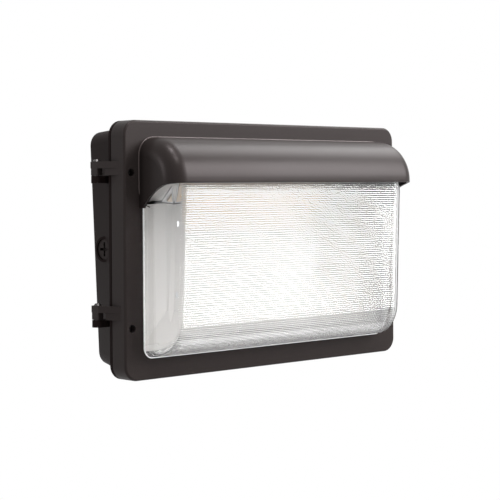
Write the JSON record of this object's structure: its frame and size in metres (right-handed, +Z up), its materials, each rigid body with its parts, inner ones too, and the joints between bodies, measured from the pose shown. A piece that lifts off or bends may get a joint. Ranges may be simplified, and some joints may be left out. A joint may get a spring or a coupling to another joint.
{
  "type": "wall pack light",
  "caption": "Box-shaped outdoor wall light: cast housing, side-hinged door with quarter-round visor and a clear ribbed lens over a white reflector and light board.",
  "frame": {"origin": "on the wall plane, behind the middle of the door frame", "axes": "+Y into the wall, +Z up, +X to the right of a person who faces the light"},
  "size_m": [0.3708, 0.118, 0.235],
  "materials": {
    "housing_paint": "textured dark bronze powder coat",
    "door_paint": "textured dark bronze powder coat",
    "visor_paint": "dark bronze powder coat, a little smoother",
    "clear_lens": "clear moulded lens with fine prisms",
    "seal": "black silicone",
    "white_sheet": "white high-reflectance paint",
    "bare_sheet": "mill finish",
    "board": "white solder mask",
    "source": "yellow phosphor",
    "zinc_screw": "zinc plated",
    "dark_screw": "blackened steel",
    "driver_case": "satin",
    "block": "moulded nylon",
    "ground_green": "green",
    "plug_paint": "dark bronze"
  },
  "bodies": {
    "housing": {"rear_housing": "housing_paint", "door_gasket": "seal", "wall_gasket": "seal", "hinge_pins": "dark_screw", "entry_plugs": "plug_paint", "reflector": "white_sheet", "reflector_screws": "zinc_screw", "light_bracket": "bare_sheet", "bracket_screws": "zinc_screw", "light_board": "board", "light_sources": "source", "led_driver": "driver_case", "driver_screws": "zinc_screw", "terminal_block": "block", "terminal_screws": "zinc_screw", "ground_screw": "ground_green"},
    "door": {"door_frame": "door_paint", "visor": "visor_paint", "visor_screws": "zinc_screw", "lens": "clear_lens", "lens_gasket": "seal", "lens_clamps": "zinc_screw", "clamp_screws": "zinc_screw"},
    "door_screw_upper_left": {"door_screw_upper_left": "dark_screw"},
    "door_screw_lower_left": {"door_screw_lower_left": "dark_screw"},
    "door_screw_upper_right": {"door_screw_upper_right": "dark_screw"},
    "door_screw_lower_right": {"door_screw_lower_right": "dark_screw"}
  },
  "joints": [
    {"name": "door_hinge", "type": "hinge", "parent": "housing", "child": "door", "pos_m": [-0.1853, -0.037, 0], "axis": [0, 0, -1], "range_deg": [0, 110]},
    {"name": "screw_upper_left", "type": "slide", "parent": "door", "child": "door_screw_upper_left", "axis": [0, 1, 0], "range_m": [0, 0.006]},
    {"name": "screw_lower_left", "type": "slide", "parent": "door", "child": "door_screw_lower_left", "axis": [0, 1, 0], "range_m": [0, 0.006]},
    {"name": "screw_upper_right", "type": "slide", "parent": "door", "child": "door_screw_upper_right", "axis": [0, 1, 0], "range_m": [0, 0.006]},
    {"name": "screw_lower_right", "type": "slide", "parent": "door", "child": "door_screw_lower_right", "axis": [0, 1, 0], "range_m": [0, 0.006]}
  ]
}
